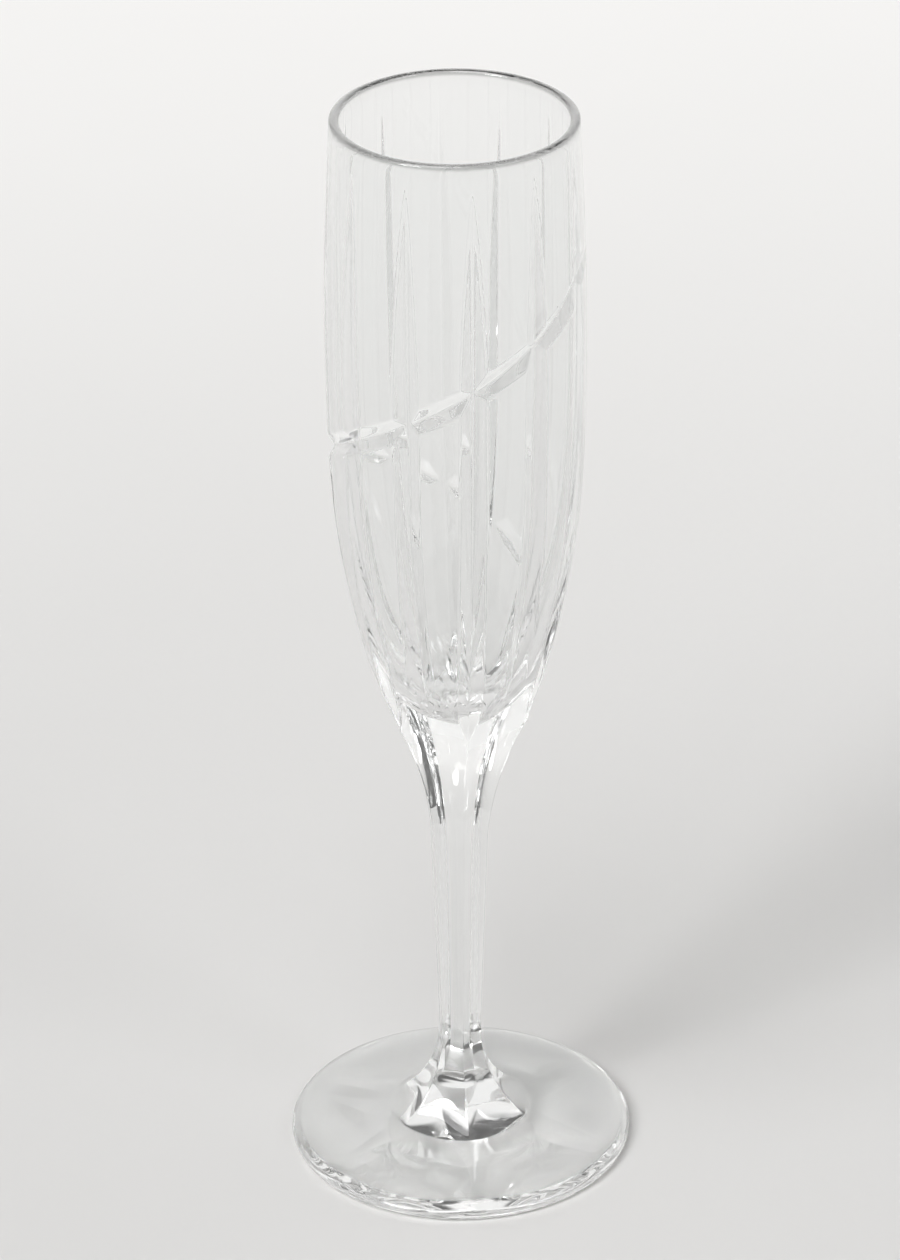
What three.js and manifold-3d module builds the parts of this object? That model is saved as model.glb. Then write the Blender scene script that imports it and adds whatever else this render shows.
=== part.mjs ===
// Champagne flute in cut crystal: a tall bowl with twelve upright mitre cuts and one rising swirl
// cut, a six-sided faceted stem, and a round foot with a six-sided collar.
// Millimetres, +Z up. The origin is the centre of the foot's underside.
import * as THREE from "three";
import { mergeVertices } from "three/addons/utils/BufferGeometryUtils.js";
import Module from "manifold-3d";

const wasm = await Module();
wasm.setup();

// Heights of the three pieces
const HEIGHT = 235;
const BOWL_JOINT_Z = 97;
const FOOT_JOINT_Z = 28;

// Bowl: the body of revolution before cutting, as [radius, height]
const BOWL_OUTLINE = [
  [13, 94], [16, 105.5], [17.8, 112], [20.95, 125], [23.55, 139], [25.3, 154], [25.95, 173],
  [26.15, 192], [25.6, 213], [24.55, 235],
];
const CAVITY_OUTLINE = [
  [0, 106], [5, 106.8], [9.8, 110], [13.8, 116], [17.5, 126], [20.75, 140], [22.8, 156],
  [23.65, 176], [23.75, 194], [23.35, 213], [22.5, 235],
];
const RIM_ROUND = 0.9;
const BOWL_SIDES = 48;
const OUTLINE_STEPS = 15;

// Upright mitre cuts
const CUT_COUNT = 12;
const CUT_DEPTH = 1.6;
const CUT_HALF_ANGLE = Math.PI / 3;
const CUT_TOP_Z = 229.5;
const CUT_TOP_RUN = 52;
const CUT_FOOT_Z = 102.5;
const CUT_FOOT_RUN = 9;
const CUT_OVERSHOOT = 4;
const CUT_STEPS = 15;

// Swirl cut: one right-handed turn that climbs round the bowl
const SWIRL_MIDDLE_Z = 186.9;
const SWIRL_PITCH = 94.3;
const SWIRL_SWAY = 2;
const SWIRL_LOW_TURN = -0.69;
const SWIRL_HIGH_TURN = 0.225;
const SWIRL_RUN_TURN = 0.07;
const SWIRL_DEPTH = 1.3;
const SWIRL_STEPS = 36;
const CUTTER_MARGIN = 0.8;

// Stem facets: a straight taper below, then one hollow-ground arc that flares into the bowl
const SIDES = 6;
const RING_POINTS = 48;
const WHEEL_RADIUS = 30;
const WAIST_CORNER = 4.8;
const SHOULDER_Z = 74;
const SHOULDER_CORNER = 6.5;
const FLARE_RADIUS = 80;
const FLARE_START_SINE = 0.1;
const FLARE_TOP_Z = 116;
const STEM_STEPS = 8;

// Foot: hollow-ground collar, then a disc with six ridges that run out to a round edge, and a
// shallow scoop between each two ridges
const FOOT_RADIUS = 36.2;
const FOOT_EDGE = 1.3;
const COLLAR_RADIUS = 22.4;
const COLLAR_TOP_Z = 25;
const COLLAR_TURN = THREE.MathUtils.degToRad(57);
const COLLAR_ROUND_TURN = THREE.MathUtils.degToRad(42);
const COLLAR_STEPS = 6;
const RIDGE_STEPS = 6;
const RIDGE_EDGE_Z = 2.6;
const RIDGE_HALF_WIDTH = 3;
const SCOOP_DEPTH = 1;

const CRYSTAL = { color: 0xf2f4f3, roughness: 0.03, metalness: 0 };

const at = (radius, turn, z) => new THREE.Vector3(
  radius * Math.sin(turn * 2 * Math.PI), -radius * Math.cos(turn * 2 * Math.PI), z);

const outlineCurve = (points) => new THREE.SplineCurve(points.map(([r, z]) => new THREE.Vector2(r, z)));

function radiusAlong(points) {
  const samples = outlineCurve(points).getPoints(400);
  return (z) => {
    const i = Math.max(1, samples.findIndex((p) => p.y >= z));
    const [low, high] = [samples[i - 1], samples[i]];
    return low.x + (high.x - low.x) * (z - low.y) / (high.y - low.y);
  };
}

const bowlRadius = radiusAlong(BOWL_OUTLINE);

// A closed solid through rings of equal length, each ring anticlockwise seen from the last one
function loft(rings) {
  const count = rings[0].length;
  const middles = [rings[0], rings.at(-1)].map((ring) => ring
    .reduce((sum, p) => sum.add(p), new THREE.Vector3()).divideScalar(count));
  const points = [...rings.flat(), ...middles];
  const faces = [];
  const last = (rings.length - 1) * count;
  for (let k = 0; k < count; k += 1) {
    const next = (k + 1) % count;
    for (let row = 0; row < last; row += count) {
      faces.push(row + k, row + next, row + count + next);
      faces.push(row + k, row + count + next, row + count + k);
    }
    faces.push(next, k, points.length - 2);
    faces.push(last + k, last + next, points.length - 1);
  }
  const geometry = new THREE.BufferGeometry().setFromPoints(points);
  geometry.setIndex(faces);
  return geometry;
}

function solid(geometry) {
  geometry.deleteAttribute("normal");
  geometry.deleteAttribute("uv");
  const merged = mergeVertices(geometry, 1e-4);
  const vertProperties = new Float32Array(merged.attributes.position.array);
  const triVerts = new Uint32Array(merged.index.array);
  return new wasm.Manifold(new wasm.Mesh({ numProp: 3, vertProperties, triVerts }));
}

function geometryOf(manifold) {
  const mesh = manifold.getMesh();
  const geometry = new THREE.BufferGeometry();
  geometry.setAttribute("position", new THREE.BufferAttribute(mesh.vertProperties, 3));
  geometry.setIndex(new THREE.BufferAttribute(mesh.triVerts, 1));
  return geometry;
}

function piece(name, geometry) {
  const mesh = new THREE.Mesh(geometry, new THREE.MeshStandardMaterial(CRYSTAL));
  mesh.name = name;
  return mesh;
}

// Corner radius of the six-sided stem at a height
function stemCorner(z) {
  if (z <= SHOULDER_Z) {
    const rise = (z - FOOT_JOINT_Z) / (SHOULDER_Z - FOOT_JOINT_Z);
    return WAIST_CORNER + (SHOULDER_CORNER - WAIST_CORNER) * rise;
  }
  const startCosine = Math.sqrt(1 - FLARE_START_SINE ** 2);
  const sine = FLARE_START_SINE + (z - SHOULDER_Z) / FLARE_RADIUS;
  return SHOULDER_CORNER + FLARE_RADIUS * (startCosine - Math.sqrt(1 - sine ** 2));
}

// One level ring between a circle and a hexagon whose sides are hollow-ground by a round wheel
function facetRing(corner, z, sixSided = 1) {
  const half = Math.PI / SIDES;
  return Array.from({ length: RING_POINTS }, (_, k) => {
    const turn = k / RING_POINTS;
    const fromMiddle = ((turn * SIDES) % 1 - 0.5) * 2 * half;
    const across = Math.tan(fromMiddle) / Math.tan(half);
    const hollow = corner ** 2 / (8 * WHEEL_RADIUS) * (1 - across ** 2);
    const facet = corner * Math.cos(half) / Math.cos(fromMiddle) - hollow;
    return at(corner + (facet - corner) * sixSided, turn, z);
  });
}

function stemLoft(lowZ, highZ, steps) {
  const heights = Array.from({ length: steps + 1 }, (_, i) => lowZ + (highZ - lowZ) * i / steps);
  return loft(heights.map((z) => facetRing(stemCorner(z), z)));
}

// Body of revolution with the drinking cavity and a fire-polished rim
function bowlBlank() {
  const wall = (points) => outlineCurve(points).getPoints(OUTLINE_STEPS);
  const rim = [];
  const outer = wall(BOWL_OUTLINE).filter((p) => p.y < HEIGHT - RIM_ROUND);
  const inner = wall(CAVITY_OUTLINE).filter((p) => p.y < HEIGHT - RIM_ROUND).reverse();
  const middle = (BOWL_OUTLINE.at(-1)[0] + CAVITY_OUTLINE.at(-1)[0]) / 2;
  const half = (BOWL_OUTLINE.at(-1)[0] - CAVITY_OUTLINE.at(-1)[0]) / 2;
  for (let angle = 0; angle <= Math.PI + 1e-6; angle += Math.PI / 6) {
    const z = HEIGHT - RIM_ROUND + RIM_ROUND * Math.sin(angle);
    rim.push(new THREE.Vector2(middle + half * Math.cos(angle), z));
  }
  const profile = [new THREE.Vector2(0, BOWL_OUTLINE[0][1]), ...outer, ...rim, ...inner];
  profile.at(-1).x = 0;
  const blank = new THREE.LatheGeometry(profile, BOWL_SIDES);
  blank.rotateX(Math.PI / 2);
  return solid(blank);
}

// Depth of an upright cut: it deepens from a point below the rim and runs out at the facets
function cutDepth(z) {
  const down = THREE.MathUtils.clamp((CUT_TOP_Z - z) / CUT_TOP_RUN, -1, 1);
  const up = THREE.MathUtils.clamp((z - CUT_FOOT_Z) / CUT_FOOT_RUN, -1, 1);
  const share = Math.min(Math.sin(down * Math.PI / 2), Math.sin(up * Math.PI / 2));
  return CUT_DEPTH * share;
}

// A three-cornered ring: the apex inside the glass and two corners outside it
function wedge(foot, outward, across, depth) {
  const reach = depth + CUTTER_MARGIN;
  const spread = reach * Math.tan(CUT_HALF_ANGLE);
  const apex = foot.clone().addScaledVector(outward, -depth);
  const mouth = foot.clone().addScaledVector(outward, CUTTER_MARGIN);
  return [
    apex,
    mouth.clone().addScaledVector(across, -spread),
    mouth.clone().addScaledVector(across, spread),
  ];
}

function uprightCutter(turn) {
  const outward = at(1, turn, 0);
  const across = at(1, turn + 0.25, 0);
  const lowZ = CUT_FOOT_Z - CUT_OVERSHOOT;
  const highZ = CUT_TOP_Z + CUT_OVERSHOOT;
  const rings = [];
  for (let i = 0; i <= CUT_STEPS; i += 1) {
    const z = lowZ + (highZ - lowZ) * i / CUT_STEPS;
    rings.push(wedge(at(bowlRadius(z), turn, z), outward, across, cutDepth(z)));
  }
  return solid(loft(rings));
}

function swirlPoint(turn) {
  const sway = SWIRL_SWAY * (1 - Math.cos(turn * 2 * Math.PI));
  const z = SWIRL_MIDDLE_Z + SWIRL_PITCH * turn + sway;
  return at(bowlRadius(z), turn, z);
}

function swirlCutter() {
  const rings = [];
  const step = (SWIRL_HIGH_TURN - SWIRL_LOW_TURN) / SWIRL_STEPS;
  for (let i = 0; i <= SWIRL_STEPS; i += 1) {
    const turn = SWIRL_LOW_TURN + step * i;
    const foot = swirlPoint(turn);
    const along = swirlPoint(turn + step / 4).sub(swirlPoint(turn - step / 4)).normalize();
    const radial = at(1, turn, 0);
    const across = new THREE.Vector3().crossVectors(along, radial).normalize();
    const outward = new THREE.Vector3().crossVectors(across, along);
    const toEnd = Math.min(turn - SWIRL_LOW_TURN, SWIRL_HIGH_TURN - turn) / SWIRL_RUN_TURN;
    const share = Math.sin(Math.min(toEnd, 1) * Math.PI / 2);
    const depth = (SWIRL_DEPTH + CUTTER_MARGIN / 2) * share - CUTTER_MARGIN / 2;
    rings.push(wedge(foot, outward, across, depth));
  }
  return solid(loft(rings));
}

function bowl() {
  let body = bowlBlank();
  for (let k = 0; k < CUT_COUNT; k += 1) {
    body = body.subtract(uprightCutter(k / CUT_COUNT));
  }
  body = body.subtract(swirlCutter());
  const facets = solid(stemLoft(BOWL_JOINT_Z, FLARE_TOP_Z, STEM_STEPS));
  const lower = body.intersect(facets);
  const upper = body.subtract(solid(lowerHalfSpace()));
  return piece("bowl", geometryOf(upper.add(lower)));
}

// Everything below the top of the stem's flare
function lowerHalfSpace() {
  const size = 4 * BOWL_OUTLINE.at(-1)[0];
  return new THREE.BoxGeometry(size, size, size).translate(0, 0, FLARE_TOP_Z - size / 2);
}

function stem() {
  return piece("stem", stemLoft(FOOT_JOINT_Z, BOWL_JOINT_Z, 2 * STEM_STEPS));
}

// One ring of the disc, from 0 at the round edge to 1 at the collar
function discRing(inward, collarFoot, collarFootZ) {
  const edgeStart = FOOT_RADIUS - FOOT_EDGE;
  const corner = edgeStart + (collarFoot - edgeStart) * inward;
  const ridgeZ = RIDGE_EDGE_Z + (collarFootZ - RIDGE_EDGE_Z) * inward ** 0.6;
  const hollow = SCOOP_DEPTH * Math.sin(inward * Math.PI) ** 2;
  const land = RIDGE_HALF_WIDTH * inward / (corner * Math.PI / SIDES);
  return facetRing(corner, ridgeZ, 0).map((point, k) => {
    const fromRidge = 1 - Math.abs(2 * (k * SIDES / RING_POINTS % 1) - 1);
    const share = THREE.MathUtils.clamp((fromRidge - land) / (1 - land), 0, 1);
    return point.setZ(ridgeZ - hollow * Math.sin(share * Math.PI / 2));
  });
}

function foot() {
  const rings = [];
  const edgeStart = FOOT_RADIUS - FOOT_EDGE;
  rings.push(facetRing(edgeStart, 0, 0));
  for (const angle of [-45, 0, 45]) {
    const bend = THREE.MathUtils.degToRad(angle);
    const radius = edgeStart + FOOT_EDGE * Math.cos(bend);
    rings.push(facetRing(radius, FOOT_EDGE * (1 + Math.sin(bend)), 0));
  }
  const collarFoot = WAIST_CORNER + COLLAR_RADIUS * (1 - Math.cos(COLLAR_TURN));
  const collarFootZ = COLLAR_TOP_Z - COLLAR_RADIUS * Math.sin(COLLAR_TURN);
  for (let i = 0; i < RIDGE_STEPS; i += 1) {
    rings.push(discRing(i / RIDGE_STEPS, collarFoot, collarFootZ));
  }
  for (let i = COLLAR_STEPS; i >= 0; i -= 1) {
    const bend = COLLAR_TURN * i / COLLAR_STEPS;
    const radius = WAIST_CORNER + COLLAR_RADIUS * (1 - Math.cos(bend));
    const sixSided = Math.min((COLLAR_TURN - bend) / (COLLAR_TURN - COLLAR_ROUND_TURN), 1);
    rings.push(facetRing(radius, COLLAR_TOP_Z - COLLAR_RADIUS * Math.sin(bend), sixSided));
  }
  rings.push(facetRing(WAIST_CORNER, FOOT_JOINT_Z, 1));
  return piece("foot", loft(rings));
}

const flute = new THREE.Group();
flute.add(bowl(), stem(), foot());

export default flute;
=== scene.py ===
# Looks of the cut-crystal champagne flute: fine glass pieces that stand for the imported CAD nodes.
import math

import bmesh
import bpy
import numpy as np
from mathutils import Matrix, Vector


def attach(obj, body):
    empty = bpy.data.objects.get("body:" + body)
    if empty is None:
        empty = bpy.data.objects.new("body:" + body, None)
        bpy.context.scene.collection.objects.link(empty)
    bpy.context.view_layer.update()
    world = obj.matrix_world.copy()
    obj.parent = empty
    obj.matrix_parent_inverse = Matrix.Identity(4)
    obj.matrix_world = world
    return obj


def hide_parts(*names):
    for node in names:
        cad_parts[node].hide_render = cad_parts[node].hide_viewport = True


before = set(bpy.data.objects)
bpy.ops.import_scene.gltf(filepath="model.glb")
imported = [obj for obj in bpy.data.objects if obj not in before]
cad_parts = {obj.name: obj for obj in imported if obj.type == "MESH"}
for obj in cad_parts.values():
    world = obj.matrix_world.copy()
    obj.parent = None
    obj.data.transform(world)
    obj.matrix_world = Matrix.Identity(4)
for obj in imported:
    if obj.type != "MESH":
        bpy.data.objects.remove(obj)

MM = 0.001
TURN = 2 * math.pi

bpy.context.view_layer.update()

# Camera: where the viewer stands, in metres and degrees
CAMERA_AZIMUTH = -7.5
CAMERA_DISTANCE = 0.9836
CAMERA_HEIGHT = 0.6559
CAMERA_AIM_HEIGHT = 0.1212
CAMERA_AIM_SIDE = -0.00157
CAMERA_ROLL = -0.40
CAMERA_FIELD = 13.12

# Studio, in metres and plain brightness
FLOOR_HALF = 3
FLOOR_GAP = 0.0002
PAPER = (1.0, 0.992, 0.98)
# Painted light and shade on the paper, as (distance away from the camera, brightness): darker near,
# lighter far
PAPER_NEAR_PAINTED_SHADE = (0, 0.68)
PAPER_FAR_PAINTED_LIGHT = (0.75, 0.9)
MOTTLE_SCALE = 9
MOTTLE_DEPTH = 0.02
ROOM_TONE = 0.14
BACKDROP_TONE = 0.95
BACKDROP_SIDES = (-0.1, 0.4)
BACKDROP_TOP = (0.66, 0.5)
ROOM_TINT = (1, 0.995, 0.985, 1)

# Lamps, as (name, azimuth from the camera, elevation and spread in degrees, strength)
LAMPS = [
    ("key", -45, 34, 20, 1.5),
    ("top", -35, 62, 40, 1.5),
    ("fill", 55, 40, 20, 0.35),
]

# Crystal: its colour range, its cords and ripples per metre, and painted shade on its rounded rim: the
# brightness of the grey band and the heights in metres where it starts and where it is full
CRYSTAL_IOR = 1.53
CRYSTAL_DEEP = (0.968, 0.976, 0.974, 1)
CRYSTAL_CLEAR = (0.988, 0.992, 0.99, 1)
CORD_SCALE = 25
RIPPLE_SCALE = 40
RIPPLE_HEIGHT = 0.00005
RIM_PAINTED_SHADE = 0.5
RIM_SHADE_START_Z = 0.2337
RIM_SHADE_FULL_Z = 0.2344

# Body of revolution before cutting, as (radius, height) in millimetres
HEIGHT = 235
BOWL_JOINT_Z = 97
FOOT_JOINT_Z = 28
BOWL_OUTLINE = [
    (13, 94), (16, 105.5), (17.8, 112), (20.95, 125), (23.55, 139), (25.3, 154), (25.95, 173),
    (26.15, 192), (25.6, 213), (24.55, 235),
]
CAVITY_OUTLINE = [
    (0, 106), (5, 106.8), (9.8, 110), (13.8, 116), (17.5, 126), (20.75, 140), (22.8, 156),
    (23.65, 176), (23.75, 194), (23.35, 213), (22.5, 235),
]
RIM_ROUND = 0.9
RIM_STEPS = 16
INNER_ROWS = 90
INNER_SKIP = 3
BASE_TOP_Z = 118
SIDE_TOP_Z = 205

# Upright mitre cuts
CUT_COUNT = 12
CUT_DEPTH = 1.6
CUT_HALF_ANGLE = math.radians(60)
CUT_TOP_Z = 229.5
CUT_TOP_RUN = 52
CUT_FOOT_Z = 102.5
CUT_FOOT_RUN = 9
VALLEY_ROUND = 0.12
POLISH = 0.05

# Swirl cut
SWIRL_MIDDLE_Z = 186.9
SWIRL_PITCH = 94.3
SWIRL_SWAY = 2
SWIRL_LOW_TURN = -0.69
SWIRL_HIGH_TURN = 0.225
SWIRL_RUN_TURN = 0.07
SWIRL_DEPTH = 1.3
CUTTER_MARGIN = 0.8
SWIRL_SEAM = 0.2675
SWIRL_REACH = 3.2
SWIRL_FINENESS = 3
SWIRL_END_DEPTH = -0.15

# Stem facets
SIDES = 6
FACET_CRISPNESS = 120
WHEEL_RADIUS = 30
WAIST_CORNER = 4.8
SHOULDER_Z = 74
SHOULDER_CORNER = 6.5
FLARE_RADIUS = 80
FLARE_START_SINE = 0.1

# Foot
FOOT_RADIUS = 36.2
FOOT_EDGE = 1.3
COLLAR_RADIUS = 22.4
COLLAR_TOP_Z = 25
COLLAR_TURN = math.radians(57)
COLLAR_ROUND_TURN = math.radians(42)
RIDGE_EDGE_Z = 2.6
RIDGE_HALF_WIDTH = 3
RIDGE_EASE = 0.6
SCOOP_DEPTH = 1


def around(turn):
    """Unit direction at a share of a turn, from -Y, anticlockwise seen from above."""
    return np.array([math.sin(turn * TURN), -math.cos(turn * TURN), 0.0])


def smooth_outline(points, count):
    """A natural cubic through (radius, height) points, sampled evenly between them."""
    points = np.array(points, float)
    chords = np.linalg.norm(np.diff(points, axis=0), axis=1)
    knots = np.concatenate([[0], np.cumsum(chords)])
    size = len(points)
    matrix = np.eye(size)
    right = np.zeros((size, 2))
    for i in range(1, size - 1):
        before, after = chords[i - 1], chords[i]
        matrix[i, i - 1:i + 2] = before, 2 * (before + after), after
        right[i] = 6 * ((points[i + 1] - points[i]) / after - (points[i] - points[i - 1]) / before)
    bend = np.linalg.solve(matrix, right)
    where = np.linspace(0, knots[-1], count)
    spans = np.clip(np.searchsorted(knots, where) - 1, 0, size - 2)
    h = chords[spans][:, None]
    a = (knots[spans + 1] - where)[:, None]
    b = (where - knots[spans])[:, None]
    curve = bend[spans] * a ** 3 / (6 * h) + bend[spans + 1] * b ** 3 / (6 * h)
    curve += (points[spans] / h - bend[spans] * h / 6) * a
    curve += (points[spans + 1] / h - bend[spans + 1] * h / 6) * b
    return curve


BOWL_WALL = smooth_outline(BOWL_OUTLINE, 1200)


def bowl_radius(z):
    return np.interp(z, BOWL_WALL[:, 1], BOWL_WALL[:, 0])


def new_object(name, points, faces):
    mesh = bpy.data.meshes.new(name)
    mesh.from_pydata((np.asarray(points) * MM).tolist(), [], faces)
    piece = bpy.data.objects.new(name, mesh)
    bpy.context.scene.collection.objects.link(piece)
    return piece


def loft(name, rings):
    """A closed solid through equal rings, each anticlockwise seen from the last one."""
    rings = np.asarray(rings, float)
    rows, count = rings.shape[:2]
    faces = []
    for row in range(rows - 1):
        low = row * count
        for k in range(count):
            after = (k + 1) % count
            faces.append((low + k, low + after, low + count + after, low + count + k))
    faces.append(tuple(reversed(range(count))))
    faces.append(tuple(range((rows - 1) * count, rows * count)))
    return new_object(name, rings.reshape(-1, 3), faces)


# Six-sided stem

def facet_radius(turns, corner):
    """Radius of a rounded hexagon with hollow-ground sides, at shares of a turn."""
    flats = [np.maximum(np.cos((turns - (k + 0.5) / SIDES) * TURN), 0) for k in range(SIDES)]
    spread = sum(flat ** FACET_CRISPNESS for flat in flats) ** (-1 / FACET_CRISPNESS)
    across = np.tan(((turns * SIDES) % 1 - 0.5) * TURN / SIDES) / math.tan(math.pi / SIDES)
    hollow = corner ** 2 / (8 * WHEEL_RADIUS) * (1 - across ** 2)
    return math.cos(math.pi / SIDES) * spread * corner - hollow


def facet_turns():
    """Places round the stem: close together at its corners, wide apart on its flats."""
    near = np.linspace(-4.8, 4.8, 17)
    flat = np.linspace(4.8, 55.2, 39)[1:-1]
    return np.concatenate([np.concatenate([near, flat]) + 60 * k for k in range(SIDES)]) / 360


FACET_TURNS = facet_turns()
FACET_WAYS = np.array([around(turn) for turn in FACET_TURNS])


def stem_corner(z):
    sine = np.clip(FLARE_START_SINE + (z - SHOULDER_Z) / FLARE_RADIUS, FLARE_START_SINE, 0.95)
    start_cosine = math.sqrt(1 - FLARE_START_SINE ** 2)
    taper = (np.minimum(z, SHOULDER_Z) - SHOULDER_Z) / (SHOULDER_Z - FOOT_JOINT_Z)
    shaft = SHOULDER_CORNER + (SHOULDER_CORNER - WAIST_CORNER) * taper
    return shaft + FLARE_RADIUS * (start_cosine - np.sqrt(1 - sine ** 2))


def contour(corner, z, six_sided=1.0):
    """A level outline between a circle and a hexagon of the same corner radius."""
    radii = corner + (facet_radius(FACET_TURNS, corner) - corner) * six_sided
    return FACET_WAYS * radii[:, None] + (0, 0, z)


def make_stem():
    shaft = np.linspace(FOOT_JOINT_Z, SHOULDER_Z, 40)
    flare = np.linspace(SHOULDER_Z, BOWL_JOINT_Z, 40)[1:]
    heights = np.concatenate([shaft, flare])
    return loft("stem_crystal", [contour(stem_corner(z), z) for z in heights])


# Bowl

def cut_depth(z):
    down = np.clip((CUT_TOP_Z - z) / CUT_TOP_RUN, -1, 1)
    up = np.clip((z - CUT_FOOT_Z) / CUT_FOOT_RUN, -1, 1)
    return CUT_DEPTH * np.sin(np.minimum(down, up) * math.pi / 2)


def groove(depth, across, bend):
    """How far a mitre groove lies below the wall at a distance across from its valley."""
    slope = 1 / math.tan(CUT_HALF_ANGLE)
    return depth - slope * (np.hypot(across, VALLEY_ROUND) - VALLEY_ROUND) - across ** 2 * bend / 2


def swirl_height(turn):
    return SWIRL_MIDDLE_Z + SWIRL_PITCH * turn + SWIRL_SWAY * (1 - np.cos(turn * TURN))


def swirl_place(turns, z):
    """Nearest share of a turn on the swirl, distance from it and its slope, for wall points."""
    turn = np.where(turns % 1 < SWIRL_SEAM, turns % 1, turns % 1 - 1)
    around_wall = TURN * bowl_radius(z)
    slope = (SWIRL_PITCH + SWIRL_SWAY * TURN * np.sin(turn * TURN)) / around_wall
    rise = z - swirl_height(turn)
    nearest = turn + rise * slope / (1 + slope ** 2) / around_wall
    return nearest, rise / np.sqrt(1 + slope ** 2), slope


def swirl_depth(turn):
    to_end = np.minimum(turn - SWIRL_LOW_TURN, SWIRL_HIGH_TURN - turn) / SWIRL_RUN_TURN
    share = np.sin(np.clip(to_end, -1, 1) * math.pi / 2)
    return (SWIRL_DEPTH + CUTTER_MARGIN / 2) * share - CUTTER_MARGIN / 2


def bowl_surface(turns, z):
    """Radius of the polished outside: wall, less its grooves, trimmed by the flare's facets."""
    wall = bowl_radius(z)
    angle = ((turns * CUT_COUNT + 0.5) % 1 - 0.5) / CUT_COUNT * TURN
    upright = groove(cut_depth(z), wall * np.sin(angle), 1 / wall)
    nearest, across, slope = swirl_place(turns, z)
    swirl = groove(swirl_depth(nearest), across, slope ** 2 / (1 + slope ** 2) / wall)
    grooves = np.logaddexp.reduce([0 * wall, upright / POLISH, swirl / POLISH]) * POLISH
    flare = facet_radius(turns, stem_corner(z))
    return -POLISH * np.logaddexp((grooves - wall) / POLISH, -flare / POLISH)


def bowl_columns():
    """Places round the bowl: close together at each groove, wide apart on the lands."""
    half = np.array([0, 0.2, 0.5, 1, 1.7, 2.5, 3.3, 4.1, 4.8, 5.5, 6.2, 7, 7.9, 9, 10.5, 12.5, 15])
    sector = np.concatenate([half, 30 - half[1:-1][::-1]])
    return np.concatenate([sector + 30 * k for k in range(CUT_COUNT)]) / 360


def bowl_rows(rim_z):
    base = np.linspace(BOWL_JOINT_Z, BASE_TOP_Z, 32)
    side = np.linspace(BASE_TOP_Z, SIDE_TOP_Z, 78)[1:]
    top = np.linspace(SIDE_TOP_Z, rim_z, 30)[1:]
    return np.concatenate([base, side, top])


def outer_wall(columns, rows):
    """Grid of the outside, with every cell near the swirl split finely. Points are lattice keys."""
    count, fine = len(columns), SWIRL_FINENESS
    turns = np.append(columns, 1)
    middle_turns, middle_z = np.meshgrid((turns[1:] + turns[:-1]) / 2, (rows[1:] + rows[:-1]) / 2)
    nearest, across, _ = swirl_place(middle_turns, middle_z)
    split = (np.abs(across) < SWIRL_REACH) & (swirl_depth(nearest) > SWIRL_END_DEPTH)
    keys, faces = {}, []

    def key(column, row):
        return keys.setdefault((column % (count * fine), row), len(keys))

    for row in range(len(rows)):
        for column in range(count):
            key(column * fine, row * fine)
    for row in range(len(rows) - 1):
        for column in range(count):
            left, low = column * fine, row * fine
            if split[row, column]:
                for i in range(fine):
                    for j in range(fine):
                        faces.append((
                            key(left + i, low + j), key(left + i + 1, low + j),
                            key(left + i + 1, low + j + 1), key(left + i, low + j + 1)))
                continue
            below = row > 0 and split[row - 1, column]
            above = row + 1 < len(rows) - 1 and split[row + 1, column]
            before, after = split[row, column - 1], split[row, (column + 1) % count]
            side_steps = range(fine)
            face = [key(left + i, low) for i in (side_steps if below else [0])]
            face += [key(left + fine, low + j) for j in (side_steps if after else [0])]
            face += [key(left + fine - i, low + fine) for i in (side_steps if above else [0])]
            face += [key(left, low + fine - j) for j in (side_steps if before else [0])]
            faces.append(tuple(face))
    lattice = np.array(list(keys))
    point_turns = np.interp(lattice[:, 0] / fine, np.arange(count + 1), turns)
    point_z = np.interp(lattice[:, 1] / fine, np.arange(len(rows)), rows)
    radius = bowl_surface(point_turns, point_z)
    angle = point_turns * TURN
    points = np.stack([radius * np.sin(angle), -radius * np.cos(angle), point_z], -1)
    return points, faces


def make_bowl():
    rim_z = HEIGHT - RIM_ROUND
    columns, rows = bowl_columns(), bowl_rows(rim_z)
    count = len(columns)
    ways = np.array([around(turn) for turn in columns])
    points, faces = outer_wall(columns, rows)
    points = list(points)
    bottom = tuple(reversed(range(count)))
    last = [(len(rows) - 1) * count + k for k in range(count)]
    inner = [p for p in smooth_outline(CAVITY_OUTLINE, INNER_ROWS) if p[1] < rim_z - 0.3]
    outside, inside = float(bowl_radius(rim_z)), float(inner[-1][0])
    middle, half = (outside + inside) / 2, (outside - inside) / 2
    for bend in np.linspace(0, math.pi, RIM_STEPS + 1)[1:]:
        ring = ways * (middle + half * math.cos(bend)) + (0, 0, rim_z + RIM_ROUND * math.sin(bend))
        fresh = [len(points) + k for k in range(count)]
        points.extend(ring)
        for k in range(count):
            after = (k + 1) % count
            faces.append((last[k], last[after], fresh[after], fresh[k]))
        last = fresh
    sparse = count // INNER_SKIP
    for radius, z in inner[-2:0:-1]:
        fresh = [len(points) + k for k in range(sparse)]
        points.extend(ways[::INNER_SKIP] * radius + (0, 0, z))
        skip = len(last) // sparse
        for k in range(sparse):
            upper = [last[(k * skip + i) % len(last)] for i in range(skip + 1)]
            faces.append((*upper, fresh[(k + 1) % sparse], fresh[k]))
        last = fresh
    points.append((0, 0, inner[0][1]))
    for k in range(sparse):
        faces.append((last[k], last[(k + 1) % sparse], len(points) - 1))
    faces.append(bottom)
    return new_object("bowl_crystal", points, faces)


# Foot

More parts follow.
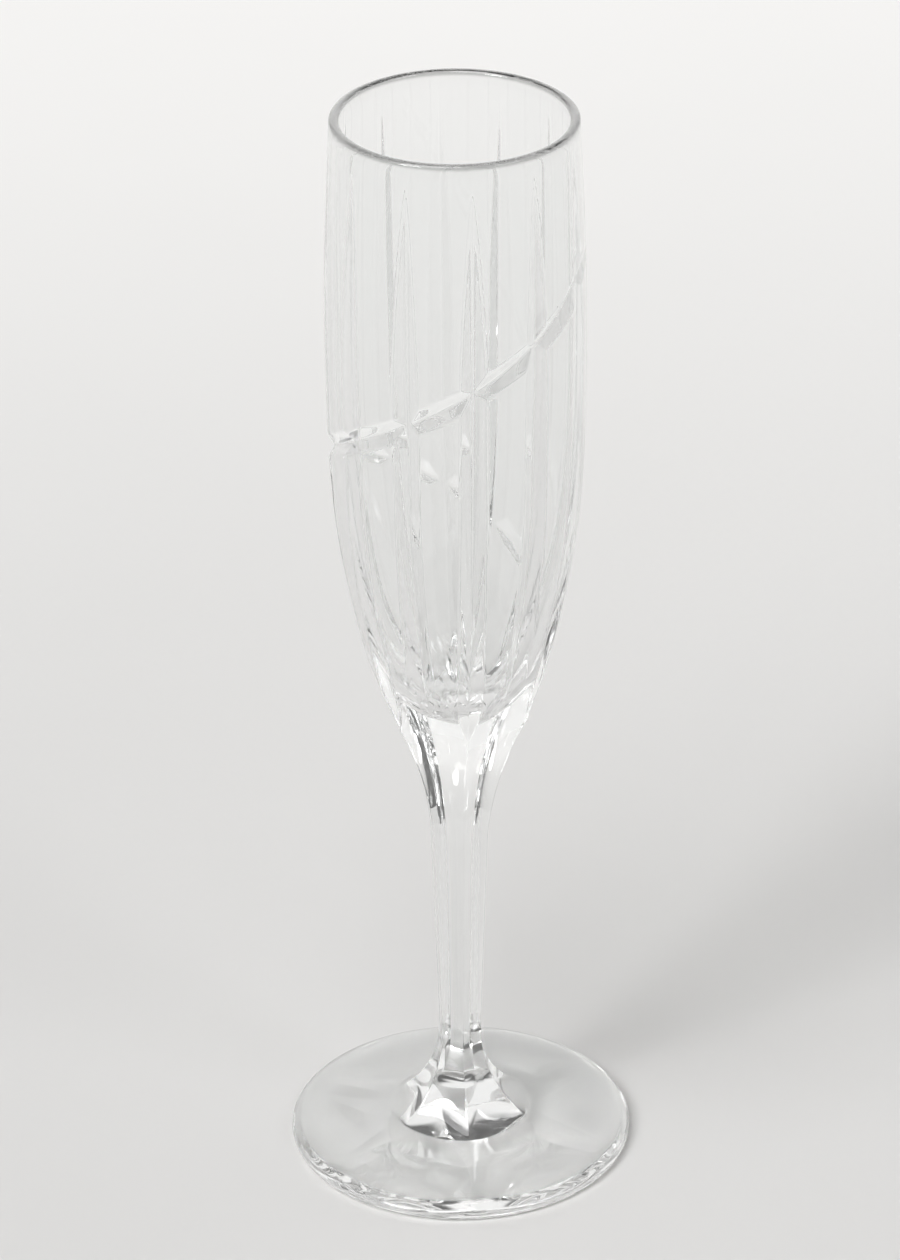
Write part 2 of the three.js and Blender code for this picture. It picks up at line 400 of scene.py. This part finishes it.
def disc_ring(inward, edge_start, collar_foot, collar_foot_z):
    """One ring of the disc, from 0 at its round edge to 1 at the collar, scooped between ridges."""
    corner = edge_start + (collar_foot - edge_start) * inward
    ridge_z = RIDGE_EDGE_Z + (collar_foot_z - RIDGE_EDGE_Z) * inward ** RIDGE_EASE
    hollow = SCOOP_DEPTH * math.sin(inward * math.pi) ** 2
    land = RIDGE_HALF_WIDTH * inward / (corner * math.pi / SIDES)
    from_ridge = 1 - np.abs(2 * (FACET_TURNS * SIDES % 1) - 1)
    share = np.clip((from_ridge - land) / (1 - land), 0, 1)
    ring = contour(corner, ridge_z, 0)
    ring[:, 2] -= hollow * np.sin(share * math.pi / 2)
    return ring


def make_foot():
    rings = [contour(radius, 0, 0) for radius in (10, 20, 30)]
    edge_start = FOOT_RADIUS - FOOT_EDGE
    for bend in np.linspace(-math.pi / 2, math.pi / 3, 21):
        rings.append(contour(
            edge_start + FOOT_EDGE * math.cos(bend), FOOT_EDGE * (1 + math.sin(bend)), 0))
    collar_foot = WAIST_CORNER + COLLAR_RADIUS * (1 - math.cos(COLLAR_TURN))
    collar_foot_z = COLLAR_TOP_Z - COLLAR_RADIUS * math.sin(COLLAR_TURN)
    for inward in np.linspace(0, 1, 49)[:-1]:
        rings.append(disc_ring(inward, edge_start, collar_foot, collar_foot_z))
    for bend in np.linspace(COLLAR_TURN, 0, 50):
        six_sided = min((COLLAR_TURN - bend) / (COLLAR_TURN - COLLAR_ROUND_TURN), 1)
        rings.append(contour(
            WAIST_CORNER + COLLAR_RADIUS * (1 - math.cos(bend)),
            COLLAR_TOP_Z - COLLAR_RADIUS * math.sin(bend), six_sided))
    rings.append(contour(WAIST_CORNER, FOOT_JOINT_Z))
    return loft("foot_crystal", rings)


# Materials

def tone_step(nodes, low, high):
    """A smooth step from 0 at one value to 1 at another."""
    step = nodes.new("ShaderNodeMapRange")
    step.interpolation_type = "SMOOTHSTEP"
    step.inputs["From Min"].default_value = low
    step.inputs["From Max"].default_value = high
    return step


def crystal(name):
    """Clear lead crystal: faint cords, slow ripples from acid polishing, and a grey band of painted shade
    on the rim's round top.
    """
    material = bpy.data.materials.new(name)
    material.use_nodes = True
    nodes, links = material.node_tree.nodes, material.node_tree.links
    shader = nodes["Principled BSDF"]
    shader.inputs["Transmission Weight"].default_value = 1
    shader.inputs["IOR"].default_value = CRYSTAL_IOR
    shader.inputs["Roughness"].default_value = 0
    place = nodes.new("ShaderNodeTexCoord")
    cords = nodes.new("ShaderNodeTexNoise")
    cords.inputs["Scale"].default_value = CORD_SCALE
    cords.inputs["Detail"].default_value = 2
    tint = nodes.new("ShaderNodeValToRGB")
    tint.color_ramp.elements[0].color = CRYSTAL_DEEP
    tint.color_ramp.elements[1].color = CRYSTAL_CLEAR
    height = nodes.new("ShaderNodeSeparateXYZ")
    # Painted shade: the base colour darkens to a grey band over the rim's round top
    rim_painted_shade = tone_step(nodes, RIM_SHADE_START_Z, RIM_SHADE_FULL_Z)
    rim_painted_shade.inputs["To Min"].default_value = 1
    rim_painted_shade.inputs["To Max"].default_value = RIM_PAINTED_SHADE
    color = nodes.new("ShaderNodeVectorMath")
    color.operation = "SCALE"
    ripple = nodes.new("ShaderNodeTexNoise")
    ripple.inputs["Scale"].default_value = RIPPLE_SCALE
    ripple.inputs["Detail"].default_value = 0
    bump = nodes.new("ShaderNodeBump")
    bump.inputs["Strength"].default_value = 1
    bump.inputs["Distance"].default_value = RIPPLE_HEIGHT
    links.new(place.outputs["Object"], cords.inputs["Vector"])
    links.new(cords.outputs["Fac"], tint.inputs["Fac"])
    links.new(place.outputs["Object"], height.inputs["Vector"])
    links.new(height.outputs["Z"], rim_painted_shade.inputs["Value"])
    links.new(tint.outputs["Color"], color.inputs[0])
    links.new(rim_painted_shade.outputs["Result"], color.inputs["Scale"])
    links.new(color.outputs["Vector"], shader.inputs["Base Color"])
    links.new(place.outputs["Object"], ripple.inputs["Vector"])
    links.new(ripple.outputs["Fac"], bump.inputs["Height"])
    links.new(bump.outputs["Normal"], shader.inputs["Normal"])
    return material


def fused_joint():
    """The hot joint between two gathers: glass runs through it, so nothing of it shows."""
    material = bpy.data.materials.new("fused_joint")
    material.use_nodes = True
    shader = material.node_tree.nodes["Principled BSDF"]
    shader.inputs["Alpha"].default_value = 0
    return material


JOINT = fused_joint()


def finish_piece(piece, node, joints):
    """Gives a piece its glass, its clear joint faces with sharp edges, smooth shading and its place."""
    mesh = piece.data
    mesh.materials.clear()
    mesh.materials.append(crystal(node + "_glass"))
    mesh.materials.append(JOINT)
    mesh.shade_smooth()
    grid = bmesh.new()
    grid.from_mesh(mesh)
    for face in grid.faces:
        joint = any(all(abs(vert.co.z - z * MM) < 1e-6 for vert in face.verts) for z in joints)
        face.material_index = 1 if joint else 0
        if joint:
            for edge in face.edges:
                edge.smooth = False
    grid.to_mesh(mesh)
    grid.free()
    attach(piece, "root")
    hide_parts(node)


# Studio

def studio_camera():
    camera = bpy.data.objects.new("camera", bpy.data.cameras.new("camera"))
    bpy.context.scene.collection.objects.link(camera)
    bpy.context.scene.camera = camera
    toward = Vector(around(CAMERA_AZIMUTH / 360))
    side = Vector(around(CAMERA_AZIMUTH / 360 + 0.25))
    camera.location = toward * CAMERA_DISTANCE + Vector((0, 0, CAMERA_HEIGHT))
    aim = side * CAMERA_AIM_SIDE + Vector((0, 0, CAMERA_AIM_HEIGHT))
    look = (aim - camera.location).to_track_quat("-Z", "Y").to_matrix().to_4x4()
    roll = look.Rotation(math.radians(CAMERA_ROLL), 4, "Z")
    camera.matrix_world = look.Translation(camera.location) @ look @ roll
    camera.data.angle = math.radians(CAMERA_FIELD)
    camera.data.clip_start = 0.01


def studio_floor():
    """A pale paper ground, a hair below the foot so the two surfaces never share a plane. Its colour
    carries painted light and shade: darker near the camera, lighter further back.
    """
    corners = np.array([(-1, -1, 0), (1, -1, 0), (1, 1, 0), (-1, 1, 0)])
    floor = new_object("floor", corners * FLOOR_HALF / MM, [(0, 1, 2, 3)])
    floor.location.z = -FLOOR_GAP
    material = bpy.data.materials.new("paper")
    material.use_nodes = True
    nodes, links = material.node_tree.nodes, material.node_tree.links
    shader = nodes["Principled BSDF"]
    shader.inputs["Roughness"].default_value = 0.9
    shader.inputs["Specular IOR Level"].default_value = 0.2
    place = nodes.new("ShaderNodeTexCoord")
    depth = nodes.new("ShaderNodeVectorMath")
    depth.operation = "DOT_PRODUCT"
    depth.inputs[1].default_value = seen_from_camera(180)
    # Painted light and shade: the paper's colour grows lighter with distance away from the camera, under
    # a faint random mottle
    painted_falloff = nodes.new("ShaderNodeMapRange")
    painted_falloff.interpolation_type = "SMOOTHSTEP"
    painted_falloff.inputs["From Min"].default_value, painted_falloff.inputs["To Min"].default_value = PAPER_NEAR_PAINTED_SHADE
    painted_falloff.inputs["From Max"].default_value, painted_falloff.inputs["To Max"].default_value = PAPER_FAR_PAINTED_LIGHT
    mottle = nodes.new("ShaderNodeTexNoise")
    mottle.inputs["Scale"].default_value = MOTTLE_SCALE
    mottle.inputs["Detail"].default_value = 3
    tones = nodes.new("ShaderNodeMath")
    tones.operation = "MULTIPLY_ADD"
    tones.inputs[1].default_value = MOTTLE_DEPTH
    tint = nodes.new("ShaderNodeVectorMath")
    tint.operation = "SCALE"
    tint.inputs[0].default_value = PAPER
    links.new(place.outputs["Object"], depth.inputs[0])
    links.new(depth.outputs["Value"], painted_falloff.inputs["Value"])
    links.new(place.outputs["Object"], mottle.inputs["Vector"])
    links.new(mottle.outputs["Fac"], tones.inputs[0])
    links.new(painted_falloff.outputs["Result"], tones.inputs[2])
    links.new(tones.outputs["Value"], tint.inputs["Scale"])
    links.new(tint.outputs["Vector"], shader.inputs["Base Color"])
    floor.data.materials.append(material)


def seen_from_camera(azimuth, elevation=0.0):
    """Unit direction from the glass, with azimuth 0 towards the camera and growing to its right."""
    turn = (CAMERA_AZIMUTH + azimuth) / 360
    level = math.cos(math.radians(elevation))
    return Vector(around(turn)) * level + Vector((0, 0, math.sin(math.radians(elevation))))


def far_lamp(name, azimuth, elevation, spread, strength):
    """A round lamp far away, so that it lights the whole paper evenly."""
    light = bpy.data.lights.new(name, "SUN")
    light.angle = math.radians(spread)
    light.energy = strength
    lamp = bpy.data.objects.new(name, light)
    bpy.context.scene.collection.objects.link(lamp)
    lamp.rotation_euler = seen_from_camera(azimuth, elevation).to_track_quat("Z", "Y").to_euler()


def studio_world():
    """A dim room with a bright backdrop low behind the glass, by direction alone."""
    world = bpy.data.worlds.new("studio")
    world.use_nodes = True
    bpy.context.scene.world = world
    nodes, links = world.node_tree.nodes, world.node_tree.links
    place = nodes.new("ShaderNodeTexCoord")
    behind = nodes.new("ShaderNodeVectorMath")
    behind.operation = "DOT_PRODUCT"
    behind.inputs[1].default_value = seen_from_camera(180)
    height = nodes.new("ShaderNodeSeparateXYZ")
    wide = tone_step(nodes, *BACKDROP_SIDES)
    low = tone_step(nodes, *BACKDROP_TOP)
    tones = nodes.new("ShaderNodeMath")
    tones.operation = "MULTIPLY"
    room = nodes.new("ShaderNodeMath")
    room.operation = "MULTIPLY_ADD"
    room.inputs[1].default_value = BACKDROP_TONE - ROOM_TONE
    room.inputs[2].default_value = ROOM_TONE
    links.new(place.outputs["Generated"], behind.inputs[0])
    links.new(behind.outputs["Value"], wide.inputs["Value"])
    links.new(place.outputs["Generated"], height.inputs["Vector"])
    links.new(height.outputs["Z"], low.inputs["Value"])
    links.new(wide.outputs["Result"], tones.inputs[0])
    links.new(low.outputs["Result"], tones.inputs[1])
    links.new(tones.outputs["Value"], room.inputs[0])
    links.new(room.outputs["Value"], nodes["Background"].inputs["Strength"])
    nodes["Background"].inputs["Color"].default_value = ROOM_TINT


studio_camera()
studio_floor()
studio_world()
for lamp_facts in LAMPS:
    far_lamp(*lamp_facts)
finish_piece(make_bowl(), "bowl", [BOWL_JOINT_Z])
finish_piece(make_stem(), "stem", [BOWL_JOINT_Z, FOOT_JOINT_Z])
finish_piece(make_foot(), "foot", [FOOT_JOINT_Z])

scene = bpy.context.scene
scene.view_settings.view_transform = "Standard"
scene.cycles.max_bounces = 44
scene.cycles.transmission_bounces = 44
scene.cycles.glossy_bounces = 32
scene.cycles.transparent_max_bounces = 16
scene.cycles.diffuse_bounces = 8
scene.cycles.blur_glossy = 0
